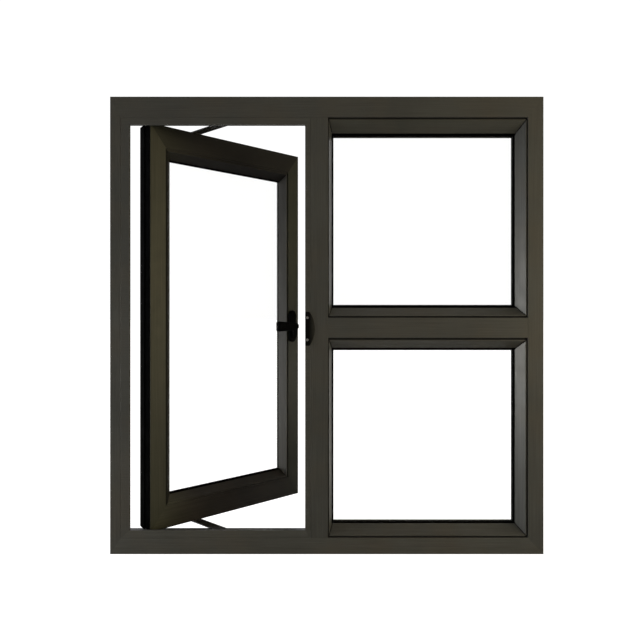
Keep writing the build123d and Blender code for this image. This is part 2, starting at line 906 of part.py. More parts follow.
def handle_base():
    boss_height = sash_room_face - nose_y - running_gap
    outline = handle_plane(sash_room_face) * SlotOverall(base_height, base_width, rotation=90)
    body = extrude(outline, base_thickness)
    body = fillet(body.edges().group_by(Axis.Y)[0], base_round)
    body += extrude(handle_plane(sash_room_face) * Circle(boss_radius), boss_height)
    bore_depth = spindle_in_base + running_gap
    bore = handle_plane(sash_room_face - boss_height) * Circle(spindle_radius + turning_gap)
    body -= extrude(bore, -bore_depth)
    for z in handle_screw_levels():
        body -= handle_screw(z, fit_gap)
    return one(body)


def handle_spindle():
    stem = extrude(handle_plane(nose_y) * Circle(spindle_radius), -spindle_in_base)
    drive = handle_plane(nose_y) * Rectangle(spindle_square, spindle_square)
    return one(stem + extrude(drive, spindle_in_lever))


def square_hole():
    return Rectangle(spindle_square + 2 * fit_gap, spindle_square + 2 * fit_gap)


def nose_outline():
    """Round hub and tongue of the lock nose, hanging down while the handle is open."""
    tongue = Pos(0, -nose_reach / 2) * Rectangle(nose_width, nose_reach)
    tongue = fillet(tongue.vertices().group_by(Axis.Y)[0], nose_width / 3)
    return Circle(nose_hub_radius) + tongue


def handle_nose():
    return one(extrude(handle_plane(nose_y) * (nose_outline() - square_hole()), nose_thickness))


def handle_lever():
    """Short paddle lever pointing to the hinge side while the handle is open, the nose let into its back."""
    outline = Circle(lever_hub_radius)
    for z in (-1, 1):
        corner_z = z * (lever_tip_height / 2 - lever_corner)
        outline += Pos(lever_corner - lever_reach, corner_z) * Circle(lever_corner)
    body = extrude(handle_plane(nose_y) * make_hull(outline.edges()), lever_thickness)
    body = fillet(body.edges().group_by(Axis.Y)[0], lever_round)
    body -= extrude(handle_plane(nose_y) * offset(nose_outline(), fit_gap), nose_thickness + fit_gap)
    socket = extrude(handle_plane(nose_y) * square_hole(), spindle_in_lever + running_gap)
    return one(body - socket)


def stays():
    save("top_track", track())
    save("bottom_track", mirrored(track()))
    save("track_studs", track_stud(), mirrored(track_stud()))
    turn = Pos(fixed_pivot_x, 0, 0) * Rot(0, 0, -open_angle) * Pos(-fixed_pivot_x, 0, 0)
    save("top_arm", turn * arm())
    save("bottom_arm", turn * mirrored(arm()))
    save("arm_rivets", turn * arm_rivet(), turn * mirrored(arm_rivet()))
    save("top_vent_bar", opened(vent_bar()))
    save("bottom_vent_bar", opened(mirrored(vent_bar())))
    slid = Pos(slide_x, 0, 0)
    save("top_shoe", slid * shoe())
    save("bottom_shoe", slid * mirrored(shoe()))


def screws():
    frame_screws = []
    for x in track_screw_places:
        frame_screws += [track_screw(x), mirrored(track_screw(x))]
    frame_screws += [keeper_screw(z) for z in keeper_screw_levels()]
    save("frame_screws", *frame_screws)
    sash_screws = []
    for x in bar_screw_places:
        sash_screws += [opened(bar_screw(x)), opened(mirrored(bar_screw(x)))]
    sash_screws += [opened(handle_screw(z)) for z in handle_screw_levels()]
    save("sash_screws", *sash_screws)


os.makedirs("parts", exist_ok=True)
frame_bars()
groove_floor = groove_depth + frame_wall
cleats = corner_cleats(frame_rect, frame_faces, frame_wall, groove_floor, -groove_half, groove_half)
save("frame_corner_cleats", *cleats)
save("bar_connectors", *bar_connectors())
casement_stops()
fixed_lites()
save("keeper", keeper())
save("weep_covers", *(drain_cover(x) for x in drain_places()))
sash_bars()
sash_glazing()
sash_inner_pieces()
save("sash_edge_seal", *edge_seal())
save("handle_base", opened(handle_base()))
save("handle_spindle", opened(handle_spindle()))
save("handle_nose", opened(handle_nose()))
save("handle_lever", opened(handle_lever()))
stays()
screws()
print(len(written), "nodes", round(sum(written.values()) / 1000), "cm3")
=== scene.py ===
import bpy
import bmesh
import json
import math
from mathutils import Matrix, Vector


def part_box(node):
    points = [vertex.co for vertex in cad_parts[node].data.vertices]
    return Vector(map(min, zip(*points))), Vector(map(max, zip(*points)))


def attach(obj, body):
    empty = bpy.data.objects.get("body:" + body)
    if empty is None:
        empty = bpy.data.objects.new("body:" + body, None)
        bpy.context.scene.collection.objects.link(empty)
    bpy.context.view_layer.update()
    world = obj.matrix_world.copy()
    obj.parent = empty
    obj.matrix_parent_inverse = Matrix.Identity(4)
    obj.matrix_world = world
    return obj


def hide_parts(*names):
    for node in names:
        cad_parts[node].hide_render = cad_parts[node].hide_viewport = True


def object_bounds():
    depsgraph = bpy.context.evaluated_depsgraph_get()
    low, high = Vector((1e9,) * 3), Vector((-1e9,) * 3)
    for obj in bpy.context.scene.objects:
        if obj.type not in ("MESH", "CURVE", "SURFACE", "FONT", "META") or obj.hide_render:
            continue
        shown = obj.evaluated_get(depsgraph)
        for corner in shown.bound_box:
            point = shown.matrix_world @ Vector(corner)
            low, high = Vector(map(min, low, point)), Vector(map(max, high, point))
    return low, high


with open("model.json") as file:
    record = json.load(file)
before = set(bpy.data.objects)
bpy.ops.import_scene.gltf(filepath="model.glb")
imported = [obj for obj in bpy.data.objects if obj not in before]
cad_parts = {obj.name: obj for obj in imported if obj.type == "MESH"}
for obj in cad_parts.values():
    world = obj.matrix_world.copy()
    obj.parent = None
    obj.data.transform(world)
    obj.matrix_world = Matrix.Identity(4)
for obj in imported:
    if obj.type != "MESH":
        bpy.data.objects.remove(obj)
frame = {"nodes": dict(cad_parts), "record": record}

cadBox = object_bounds()
nodes = frame["nodes"]
record = frame["record"]
slotOf = {part["node"]: part["material_slot"] for part in record["subparts"]}
bodyOf = {name: body for body, names in record["behaviour"]["bodies"].items() for name in names}
bpy.ops.object.select_all(action="DESELECT")
print("frame loaded:", len(nodes), "nodes")


# small node helpers
def startMaterial(name):
    mat = bpy.data.materials.new(name)
    mat.use_nodes = True
    tree = mat.node_tree
    return mat, tree, tree.nodes["Principled BSDF"]


def addNode(tree, kind, **values):
    node = tree.nodes.new(kind)
    for key, value in values.items():
        if key in node.inputs:
            node.inputs[key].default_value = value
        else:
            setattr(node, key, value)
    return node


# object coordinates, turned about the upright first and then stretched
def objectCoords(tree, stretch=(1, 1, 1), turn=0):
    coords = addNode(tree, "ShaderNodeTexCoord")
    turning = addNode(tree, "ShaderNodeMapping", Rotation=(0, 0, math.radians(turn)))
    tree.links.new(coords.outputs["Object"], turning.inputs["Vector"])
    stretching = addNode(tree, "ShaderNodeMapping", Scale=stretch)
    tree.links.new(turning.outputs["Vector"], stretching.inputs["Vector"])
    return stretching.outputs["Vector"]


def axisOf(tree, vector, axis):
    node = addNode(tree, "ShaderNodeSeparateXYZ")
    tree.links.new(vector, node.inputs["Vector"])
    return node.outputs[axis]


def noise(tree, vector, scale, detail, rough=0.5):
    tex = addNode(tree, "ShaderNodeTexNoise", Scale=scale, Detail=detail, Roughness=rough)
    tree.links.new(vector, tex.inputs["Vector"])
    return tex.outputs["Fac"]


# low at fromLow to high at fromHigh; most of a noise lies between 0.3 and 0.7
def spread(tree, value, low, high, fromLow=0.3, fromHigh=0.7):
    remap = addNode(tree, "ShaderNodeMapRange")
    remap.inputs["From Min"].default_value = fromLow
    remap.inputs["From Max"].default_value = fromHigh
    remap.inputs["To Min"].default_value = low
    remap.inputs["To Max"].default_value = high
    tree.links.new(value, remap.inputs["Value"])
    return remap.outputs["Result"]


def multiply(tree, first, second):
    node = addNode(tree, "ShaderNodeMath", operation="MULTIPLY")
    tree.links.new(first, node.inputs[0])
    tree.links.new(second, node.inputs[1])
    return node.outputs["Value"]


def blendColours(tree, factor, first, second):
    mix = addNode(tree, "ShaderNodeMix", data_type="RGBA")
    for key, colour in (("A", first), ("B", second)):
        if isinstance(colour, tuple):
            mix.inputs[key].default_value = (*colour, 1)
        else:
            tree.links.new(colour, mix.inputs[key])
    tree.links.new(factor, mix.inputs["Factor"])
    return mix.outputs["Result"]


def blendNumbers(tree, factor, first, second):
    mix = addNode(tree, "ShaderNodeMix")
    tree.links.new(factor, mix.inputs["Factor"])
    tree.links.new(first, mix.inputs["A"])
    tree.links.new(second, mix.inputs["B"])
    return mix.outputs["Result"]


def bump(tree, height, strength, distance, normal=None):
    node = addNode(tree, "ShaderNodeBump", Strength=strength, Distance=distance)
    tree.links.new(height, node.inputs["Height"])
    if normal is not None:
        tree.links.new(normal, node.inputs["Normal"])
    return node.outputs["Normal"]


openAngle = 37.5  # how far the casement stands open
turned = math.radians(openAngle)
roomward = Vector((math.sin(turned), -math.cos(turned), 0))  # out of the open sash's room face
coat = {
    # every tone but the frame's is the frame's coat with light and shade painted in; rise is the
    # painted brightness low down and high up, and the two heights
    "tones": {
        "frame": {
            "dark": (0.030, 0.0306, 0.0275), "light": (0.042, 0.0425, 0.0385),
            "brown": (0.045, 0.039, 0.029),
        },
        # painted light: the sill a shade lighter than the frame
        "sill": {
            "dark": (0.038, 0.0385, 0.0345), "light": (0.052, 0.0525, 0.0475),
            "brown": (0.056, 0.048, 0.036),
        },
        # painted shade: the top bead of the upper lite darker than the frame
        "topBead": {
            "dark": (0.0230, 0.0231, 0.0178), "light": (0.0320, 0.0318, 0.0250),
            "brown": (0.036, 0.030, 0.021),
        },
        # painted light and shade on the sash's stiles, beads and rails, on their room side
        "hingeStile": {
            "dark": (0.0235, 0.0238, 0.0145), "light": (0.0325, 0.0323, 0.0205),
            "brown": (0.0325, 0.030, 0.0195), "gloss": 0.2, "outdoors": True,
        },
        "lockStile": {
            "dark": (0.0125, 0.0147, 0.0078), "light": (0.0170, 0.0190, 0.0108),
            "brown": (0.0170, 0.0165, 0.0103), "gloss": 0.2, "outdoors": True,
            "rise": (0.46, 0.86, 0.22, 0.60),
        },
        "hingeBead": {
            "dark": (0.0120, 0.0120, 0.0095), "light": (0.0170, 0.0170, 0.0135),
            "brown": (0.0170, 0.0150, 0.0120), "gloss": 0.005,
        },
        "lockBead": {
            "dark": (0.028, 0.028, 0.0265), "light": (0.038, 0.0375, 0.035),
            "brown": (0.037, 0.034, 0.031), "rise": (1.38, 0.60, 0.22, 0.68),
        },
        "sashRail": {
            "dark": (0.0075, 0.0066, 0.0064), "light": (0.0125, 0.0110, 0.0102),
            "brown": (0.0140, 0.0110, 0.0090), "gloss": 0.16, "outdoors": True, "fade": True,
            "rise": (1.50, 0.72, 0.20, 0.80),
        },
    },
    "cloud": {"scale": 5, "detail": 4},
    "patch": {"scale": 13, "detail": 4}, "patchFrom": (0.45, 0.7), "patchShare": 0.5,
    "draw": {"scale": 600, "detail": 3, "rough": 0.6},
    "drawStretch": 0.012, "drawShade": 0.22, "drawDepth": 0.00003, "drawBump": 0.4,
    "peel": {"scale": 900, "detail": 2, "rough": 0.6}, "peelDepth": 0.00006, "peelBump": 0.35,
    "smear": {"scale": 60, "detail": 3}, "rough": (0.36, 0.46),
    "gloss": 0.4, "tint": (1.0, 0.985, 0.93),
    "railFade": (1.35, 0.25), "railSpan": (-0.33, 0.11),  # painted shade: rails darken towards the lock side
    "hingeBlend": (-0.315, -0.20), "lockBlend": (0.03, 0.11),  # and take on the stiles' painted tones there
    "outerSpan": (0.256, 0.266),  # depth over which the sash bars turn from their painted tones to the frame's tone outdoors
}


# soft colour clouds with brownish patches
def mottled(tree, place, look):
    cloud = noise(tree, place, **coat["cloud"])
    shade = blendColours(tree, spread(tree, cloud, 0, 1), look["dark"], look["light"])
    patch = noise(tree, place, **coat["patch"])
    share = spread(tree, patch, 0, coat["patchShare"], *coat["patchFrom"])
    return blendColours(tree, share, shade, look["brown"])


# powder coat over an extrusion: mottled colour, faint draw lines along the bar, and on some pieces
# painted light and shade
def powderCoat(name, tone, along, turn=0):
    look = coat["tones"][tone]
    mat, tree, shader = startMaterial(name)
    place = objectCoords(tree)
    shade = mottled(tree, place, look)
    stretch = [coat["drawStretch"] if axis == along else 1 for axis in "XYZ"]
    draw = noise(tree, objectCoords(tree, stretch, turn), **coat["draw"])
    drawn = value = spread(tree, draw, 1 - coat["drawShade"], 1 + coat["drawShade"])
    # painted shade along a rail, blending into the stiles' painted tones at its ends
    if "fade" in look:
        across = axisOf(tree, objectCoords(tree, turn=turn), "X")
        value = multiply(tree, value, spread(tree, across, *coat["railFade"], *coat["railSpan"]))
        atHinge = spread(tree, across, 1, 0, *coat["hingeBlend"])
        shade = blendColours(tree, atHinge, shade, coat["tones"]["hingeStile"]["dark"])
        atLock = spread(tree, across, 0, 1, *coat["lockBlend"])
        shade = blendColours(tree, atLock, shade, coat["tones"]["lockStile"]["light"])
    # painted light and shade: brighter or darker with height
    if "rise" in look:
        value = multiply(tree, value, spread(tree, axisOf(tree, place, "Z"), *look["rise"]))
    # outdoors the painted tones give way to the frame's own coat
    if "outdoors" in look:
        depth = axisOf(tree, objectCoords(tree, turn=-openAngle), "Y")
        outside = spread(tree, depth, 0, 1, *coat["outerSpan"])
        shade = blendColours(tree, outside, shade, mottled(tree, place, coat["tones"]["frame"]))
        value = blendNumbers(tree, outside, value, drawn)
    # the draw lines and the painted light and shade both scale the colour here
    streakAndShade = addNode(tree, "ShaderNodeHueSaturation")
    tree.links.new(shade, streakAndShade.inputs["Color"])
    tree.links.new(value, streakAndShade.inputs["Value"])
    tree.links.new(streakAndShade.outputs["Color"], shader.inputs["Base Color"])
    smear = noise(tree, place, **coat["smear"])
    tree.links.new(spread(tree, smear, *coat["rough"]), shader.inputs["Roughness"])
    lines = bump(tree, draw, coat["drawBump"], coat["drawDepth"])
    peel = noise(tree, place, **coat["peel"])
    skin = bump(tree, peel, coat["peelBump"], coat["peelDepth"], lines)
    tree.links.new(skin, shader.inputs["Normal"])
    shader.inputs["Specular IOR Level"].default_value = look.get("gloss", coat["gloss"])
    shader.inputs["Specular Tint"].default_value = (*coat["tint"], 1)
    return mat


# the frame's own coat on rails and posts; the others are copies of it with light and shade painted
# in
coats = {
    "frameRail": powderCoat("frameRailCoat", "frame", "X"),
    "framePost": powderCoat("framePostCoat", "frame", "Z"),
    "sill": powderCoat("sillCoat", "sill", "X"),
    "topBead": powderCoat("topBeadCoat", "topBead", "X"),
    "sashRail": powderCoat("sashRailCoat", "sashRail", "X", -openAngle),
    "hingeStile": powderCoat("hingeStileCoat", "hingeStile", "Z"),
    "lockStile": powderCoat("lockStileCoat", "lockStile", "Z"),
    "hingeBead": powderCoat("hingeBeadCoat", "hingeBead", "Z"),
    "lockBead": powderCoat("lockBeadCoat", "lockBead", "Z"),
}

pane = {
    "tint": (0.93, 0.965, 0.955), "alpha": 0.03, "ior": 1.5,
    "film": {"scale": 14, "detail": 4}, "rough": (0.01, 0.05),
}


def clearGlass():
    mat, tree, shader = startMaterial("clearGlass")
    shader.inputs["Base Color"].default_value = (*pane["tint"], 1)
    shader.inputs["Alpha"].default_value = pane["alpha"]
    shader.inputs["IOR"].default_value = pane["ior"]
    film = noise(tree, objectCoords(tree), **pane["film"])
    tree.links.new(spread(tree, film, *pane["rough"]), shader.inputs["Roughness"])
    return mat


blacks = {
    "blackRubber": {
        "dark": 0.0007, "light": 0.0016, "patchScale": 40, "rough": (0.60, 0.75),
        "shine": 0.008, "grainScale": 1500, "grainDepth": 0.00008,
    },
    "blackNylon": {
        "dark": 0.0025, "light": 0.0050, "patchScale": 30, "rough": (0.40, 0.55),
        "shine": 0.20, "grainScale": 1800, "grainDepth": 0.00006,
    },
    "blackHardware": {
        "dark": 0.0005, "light": 0.0010, "patchScale": 50, "rough": (0.36, 0.48),
        "shine": 0.014, "grainScale": 2200, "grainDepth": 0.00005,
    },
    # dark sealant in mitre joints, also used as painted shade in the gaps beside beads
    "sealantAndGapShade": {
        "dark": 0.0130, "light": 0.0210, "patchScale": 60, "rough": (0.60, 0.75),
        "shine": 0.05, "grainScale": 1200, "grainDepth": 0.00008,
    },
    "patchDetail": 4, "grainDetail": 2, "grainBump": 0.3,
}


# dull black: two near shades in soft patches, a fine grain, hardly any shine
def dullBlack(name):
    look = blacks[name]
    mat, tree, shader = startMaterial(name)
    place = objectCoords(tree)
    patch = noise(tree, place, look["patchScale"], blacks["patchDetail"])
    share = spread(tree, patch, 0, 1)
    shade = blendColours(tree, share, (look["dark"],) * 3, (look["light"],) * 3)
    tree.links.new(shade, shader.inputs["Base Color"])
    tree.links.new(spread(tree, patch, *look["rough"]), shader.inputs["Roughness"])
    shader.inputs["Specular IOR Level"].default_value = look["shine"]
    grain = noise(tree, place, look["grainScale"], blacks["grainDetail"])
    skin = bump(tree, grain, blacks["grainBump"], look["grainDepth"])
    tree.links.new(skin, shader.inputs["Normal"])
    return mat


metals = {
    "millAluminium": {
        "dark": (0.55, 0.56, 0.57), "light": (0.68, 0.69, 0.70),
        "rough": (0.30, 0.45), "stretch": (30, 30, 900),
    },
    "stainlessSteel": {
        "dark": (0.42, 0.41, 0.39), "light": (0.62, 0.61, 0.59),
        "rough": (0.20, 0.38), "stretch": (60, 1600, 1600),
    },
    "staySteel": {
        "dark": (0.10, 0.098, 0.094), "light": (0.19, 0.185, 0.18),
        "rough": (0.26, 0.42), "stretch": (1600, 1600, 60),
    },
    "screwSteel": {
        "dark": (0.20, 0.20, 0.19), "light": (0.32, 0.31, 0.30),
        "rough": (0.28, 0.42), "stretch": (1600, 60, 1600),
    },
    "lines": {"scale": 1, "detail": 3}, "lineBump": 0.2, "lineDepth": 0.00004,
}


# metal with fine lines along one way
def linedMetal(name):
    look = metals[name]
    mat, tree, shader = startMaterial(name)
    lines = noise(tree, objectCoords(tree, look["stretch"]), **metals["lines"])
    shade = blendColours(tree, spread(tree, lines, 0, 1), look["dark"], look["light"])
    tree.links.new(shade, shader.inputs["Base Color"])
    tree.links.new(spread(tree, lines, *look["rough"]), shader.inputs["Roughness"])
    skin = bump(tree, lines, metals["lineBump"], metals["lineDepth"])
    tree.links.new(skin, shader.inputs["Normal"])
    shader.inputs["Metallic"].default_value = 1
    return mat


# finishes by the record's slots, and three more for single pieces
finishes = {
    "clear_glass": clearGlass(),
    "black_rubber": dullBlack("blackRubber"),
    "black_nylon": dullBlack("blackNylon"),
    "black_hardware": dullBlack("blackHardware"),
    "mill_aluminium": linedMetal("millAluminium"),
    "stainless_steel": linedMetal("stainlessSteel"),
}
sealantAndGapShade = dullBlack("sealantAndGapShade")
staySteel = linedMetal("staySteel")
screwSteel = linedMetal("screwSteel")
levelWords = ("head", "sill", "transom", "top", "bottom")
stayNodes = (
    "top_arm", "bottom_arm", "top_vent_bar", "bottom_vent_bar", "top_track", "bottom_track",
)


def finishFor(name):
    if name in stayNodes:
        return staySteel
    if "spacer" in name:
        return finishes["black_rubber"]
    if slotOf[name] in finishes:
        return finishes[slotOf[name]]
    # painted light on the sill, painted shade on the upper top bead; the sash tones below carry
    # painted light and shade too
    if name in ("frame_sill", "bottom_stop"):
        return coats["sill"]
    if name == "upper_top_bead":
        return coats["topBead"]
    level = any(word in name for word in levelWords)
    if slotOf[name] == "frame_coat":
        return coats["frameRail" if level else "framePost"]
    if level:
        return coats["sashRail"]
    side = "hinge" if "hinge" in name else "lock"
    return coats[side + ("Bead" if name.endswith("bead") else "Stile")]


for name, node in nodes.items():
    if not node.material_slots:
        node.data.materials.append(finishFor(name))
    for slot in node.material_slots:
        slot.material = finishFor(name)
print("finishes on", len(nodes), "nodes")

# limits for what counts as merged, flat, level, or along, facing, leaning to or square to a way
shaping = {
    "merged": 0.000001, "flat": 0.5, "level": 0.00001,
    "along": 0.9999, "facing": 0.9, "leaning": 0.3, "square": 0.1,
    "smoothAngle": 50,
}


# upper_top_bead becomes upperTopBead, and mullion becomes mullionPiece
def pieceName(name):
    first, *rest = name.split("_")
    return first + "".join(word.capitalize() for word in rest or ["piece"])


# a clean copy of a node's shape, open in edit mode
def startCopy(name, ownName=None):
    bpy.ops.object.select_all(action="DESELECT")
    obj = bpy.data.objects.new(ownName or pieceName(name), nodes[name].data.copy())
    bpy.context.collection.objects.link(obj)
    bpy.context.view_layer.objects.active = obj
    obj.select_set(True)
    bpy.ops.mesh.customdata_custom_splitnormals_clear()
    bpy.ops.object.mode_set(mode="EDIT")
    bpy.ops.mesh.select_mode(type="EDGE")
    bpy.ops.mesh.select_all(action="SELECT")
    bpy.ops.mesh.remove_doubles(threshold=shaping["merged"])
    bpy.ops.mesh.dissolve_limited(angle_limit=math.radians(shaping["flat"]))
    return obj


def pickEdges(obj, wanted):
    bpy.ops.mesh.select_all(action="DESELECT")
    mesh = bmesh.from_edit_mesh(obj.data)
    picked = [edge for edge in mesh.edges if len(edge.link_faces) == 2 and wanted(edge)]
    for edge in picked:
        edge.select_set(True)
    bmesh.update_edit_mesh(obj.data)
    return len(picked)


def outerCorner(edge, angle):
    return edge.is_convex and edge.calc_face_angle() > math.radians(angle)


def runOf(edge):
    return edge.verts[1].co - edge.verts[0].co


# the way that a bar runs, from its longest edge
def barWay(obj):
    mesh = bmesh.from_edit_mesh(obj.data)
    return max((runOf(edge) for edge in mesh.edges), key=lambda run: run.length).normalized()


def runsAlong(edge, along, shortest):
    run = runOf(edge)
    return run.length > shortest and abs(run.normalized().dot(along)) > shaping["along"]


# leaves edit mode and puts the piece in its node's place
def finishPiece(obj, name, smoothAngle=shaping["smoothAngle"]):
    bpy.ops.object.mode_set(mode="OBJECT")
    bpy.ops.object.shade_smooth_by_angle(angle=math.radians(smoothAngle))
    flat = obj.modifiers.new("flatFaces", "WEIGHTED_NORMAL")
    flat.keep_sharp = True
    bpy.ops.object.modifier_apply(modifier=flat.name)
    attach(obj, bodyOf[name])
    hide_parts(name)


# extruded bars: long outer corners eased, mitred ends left sharp
bars = {
    "names": (
        "frame_head", "frame_sill", "left_jamb", "right_jamb", "mullion", "transom",
        "top_stop", "bottom_stop", "hinge_side_stop", "lock_side_stop",
        "sash_top_rail", "sash_bottom_rail", "sash_hinge_stile", "sash_lock_stile",
    ),
    "edge": 0.0006, "steps": 2, "corner": 25, "shortest": 0.05, "narrowest": 0.0016,
}


def easeBar(name):
    obj = startCopy(name)
    along = barWay(obj)

    def wanted(edge):
        if not runsAlong(edge, along, bars["shortest"]):
            return False
        widths = [face.calc_area() / edge.calc_length() for face in edge.link_faces]
        return outerCorner(edge, bars["corner"]) and min(widths) > bars["narrowest"]

    count = pickEdges(obj, wanted)
    bpy.ops.mesh.bevel(offset=bars["edge"], segments=bars["steps"], clamp_overlap=True)
    finishPiece(obj, name)
    return count


print("bars eased, edges:", {name: easeBar(name) for name in bars["names"]})

# glazing beads: mitre rims cut back to fine grooves, long corners eased
beads = {
    "kinds": {
        "lite": {
            "names": [f"{lite}_{side}_bead" for lite in ("upper", "lower")
                      for side in ("top", "bottom", "left", "right")],
            "mitre": 0.0011, "edge": 0.0005, "sealed": True,  # dark sealant in the mitre joints, and painted shade on the floor and wall of the gap beside the bead
        },
        "sash": {
            "names": [f"sash_{side}_bead" for side in ("top", "bottom", "hinge", "lock")],
            "mitre": 0.0003, "edge": 0.0002, "sealed": False,
        },
    },
    "steps": 2, "corner": 20, "shortest": 0.05,
    "gapFloor": -0.0225, "gapWall": -0.0195,  # how deep the gap beside a lite's bead lies
    # width of the rubber lip folded over a bead's inner edge, where one shows
    "lips": {
        "upper_top_bead": 0.0019, "upper_bottom_bead": 0.0034, "lower_top_bead": 0.0024,
        "upper_left_bead": 0.0012, "lower_left_bead": 0.0012,
        "sash_top_bead": 0.0022, "sash_bottom_bead": 0.0026,
    },
    "lipRise": 0.00025,
    "inward": {"top": (0, 0, -1), "bottom": (0, 0, 1), "left": (1, 0, 0)},
    # these have a shadow gap that is hardly seen, so its floor is raised
    "shallow": ("sash_top_bead", "sash_bottom_bead", "sash_hinge_bead"),
    "gapDepth": 0.004, "gapRise": 0.0034,
}
coatSlot, sealantAndShadeSlot, rubberSlot = range(3)  # a bead's materials


def isEnd(face, along):
    return abs(face.normal.dot(along)) > shaping["leaning"]


# inside the hollow of a bead, where no long edge is an outer corner
def inChamber(face, along):
    runs = [edge for edge in face.edges if runsAlong(edge, along, beads["shortest"])]
    return not isEnd(face, along) and not any(edge.is_convex for edge in runs)


def isMitreRim(edge, along):
    ends = [isEnd(face, along) for face in edge.link_faces]
    hollow = any(inChamber(face, along) for face in edge.link_faces)
    return sum(ends) == 1 and edge.is_convex and not hollow


def isLongCorner(edge, along):
    return runsAlong(edge, along, beads["shortest"]) and outerCorner(edge, beads["corner"])


def raiseGap(obj):
    bpy.ops.mesh.select_mode(type="VERT")
    bpy.ops.mesh.select_all(action="DESELECT")
    mesh = bmesh.from_edit_mesh(obj.data)
    front = max(v.co.dot(roomward) for v in mesh.verts)
    for v in mesh.verts:
        depth = front - v.co.dot(roomward)
        v.select_set(abs(depth - beads["gapDepth"]) < shaping["level"])
    bmesh.update_edit_mesh(obj.data)
    bpy.ops.transform.translate(value=roomward * beads["gapRise"])
    bpy.ops.mesh.select_mode(type="EDGE")


# the strip next to the glass is cut off by a plane, turned to rubber and raised a little
def addLip(obj, name, along):
    obj.data.materials.append(finishes["black_rubber"])
    side = name.split("_")[1]
    inward = Vector(beads["inward"][side])
    bpy.ops.mesh.select_mode(type="FACE")
    bpy.ops.mesh.select_all(action="DESELECT")
    mesh = bmesh.from_edit_mesh(obj.data)
    for face in mesh.faces:
        coated = face.material_index == coatSlot and face.normal.y < shaping["leaning"]
        if coated and not isEnd(face, along) and not inChamber(face, along):
            face.material_index = rubberSlot
            face.select_set(True)
    lipStart = max(v.co.dot(inward) for v in mesh.verts) - beads["lips"][name]
    bmesh.update_edit_mesh(obj.data)
    bpy.ops.mesh.bisect(plane_co=inward * lipStart, plane_no=inward)
    bpy.ops.mesh.select_all(action="DESELECT")
    mesh = bmesh.from_edit_mesh(obj.data)
    for face in mesh.faces:
        if face.material_index == rubberSlot:
            inLip = face.calc_center_median().dot(inward) > lipStart
            face.material_index = rubberSlot if inLip else coatSlot
            face.select_set(inLip)
    bmesh.update_edit_mesh(obj.data)
    bpy.ops.mesh.extrude_region_shrink_fatten(
        TRANSFORM_OT_shrink_fatten={"value": beads["lipRise"]})


# painted shade: the dark sealant material on the floor and the wall of the gap beside a lite's bead
def paintGapShade(obj, along):
    for face in obj.data.polygons:
        if face.material_index == rubberSlot:
            continue
        depths = [obj.data.vertices[index].co.y for index in face.vertices]
        onSide = abs(face.normal.dot(along)) < shaping["square"]
        floor = face.normal.y < -shaping["facing"] and min(depths) > beads["gapFloor"]
        upright = abs(face.normal.y) < shaping["leaning"] and onSide
        if floor or (upright and max(depths) < beads["gapWall"]):
            face.material_index = sealantAndShadeSlot


def makeBead(name, look):
    obj = startCopy(name)
    obj.data.materials.append(sealantAndGapShade)
    along = barWay(obj)
    if name in beads["shallow"]:
        raiseGap(obj)
    pickEdges(obj, lambda edge: isMitreRim(edge, along))
    bpy.ops.mesh.bevel(offset=look["mitre"], segments=1)
    if look["sealed"]:
        obj.active_material_index = sealantAndShadeSlot
        bpy.ops.object.material_slot_assign()
    count = pickEdges(obj, lambda edge: isLongCorner(edge, along))
    bpy.ops.mesh.bevel(offset=look["edge"], segments=beads["steps"])
    if name in beads["lips"]:
        addLip(obj, name, along)
    finishPiece(obj, name)
    # painted shade in the gap beside the bead
    if look["sealed"]:
        paintGapShade(obj, along)
    return count


for kind, look in beads["kinds"].items():
    print(kind, "beads made, edges:", {name: makeBead(name, look) for name in look["names"]})

# gaskets and stay bars: every outer corner eased
eased = {
    "gaskets": {
        "names": ("upper_gaskets", "lower_gaskets", "sash_gaskets"),
        "edge": 0.0007, "steps": 3, "corner": 30,
    },
    "stayBars": {
        "names": ("top_arm", "bottom_arm", "top_vent_bar", "bottom_vent_bar"),
        "edge": 0.0004, "steps": 2, "corner": 60,
    },
}


def easeAll(name, look):
    obj = startCopy(name)
    pickEdges(obj, lambda edge: outerCorner(edge, look["corner"]))
    bpy.ops.mesh.bevel(offset=look["edge"], segments=look["steps"], clamp_overlap=True)
    finishPiece(obj, name)
    return obj


for kind, look in eased.items():
    print(kind, "eased:", [easeAll(name, look).name for name in look["names"]])

# strike plate: edges eased, black where the nose rides, then painted light as a lighter grey
# towards its bow
keeper = {
    "edge": 0.0003, "steps": 2, "corner": 30,
    "black": (0.0006, 0.0006, 0.0006), "grey": (0.022, 0.022, 0.0187),
    "paintedLightSpan": (-0.0365, -0.0265),  # painted light: black up to the first, lit grey from the second
    "patch": {"scale": 90, "detail": 4}, "patchShare": (0.75, 1.0), "rough": (0.40, 0.52),
    "shine": 0.06, "grain": {"scale": 2200, "detail": 2}, "grainBump": 0.3, "grainDepth": 0.00005,
}


def keeperBlack():
    mat, tree, shader = startMaterial("keeperBlack")
    place = objectCoords(tree)
    # painted light: black turning to a lit grey along the plate, in soft patches
    paintedLight = spread(tree, axisOf(tree, place, "X"), 0, 1, *keeper["paintedLightSpan"])
    patch = noise(tree, place, **keeper["patch"])
    share = multiply(tree, paintedLight, spread(tree, patch, *keeper["patchShare"]))
    shade = blendColours(tree, share, keeper["black"], keeper["grey"])
    tree.links.new(shade, shader.inputs["Base Color"])
    tree.links.new(spread(tree, patch, *keeper["rough"]), shader.inputs["Roughness"])
    shader.inputs["Specular IOR Level"].default_value = keeper["shine"]
    grain = noise(tree, place, **keeper["grain"])
    skin = bump(tree, grain, keeper["grainBump"], keeper["grainDepth"])
    tree.links.new(skin, shader.inputs["Normal"])
    return mat


keeperPlate = easeAll("keeper", keeper)
keeperPlate.material_slots[0].material = keeperBlack()
print("keeper made:", keeperPlate.name)

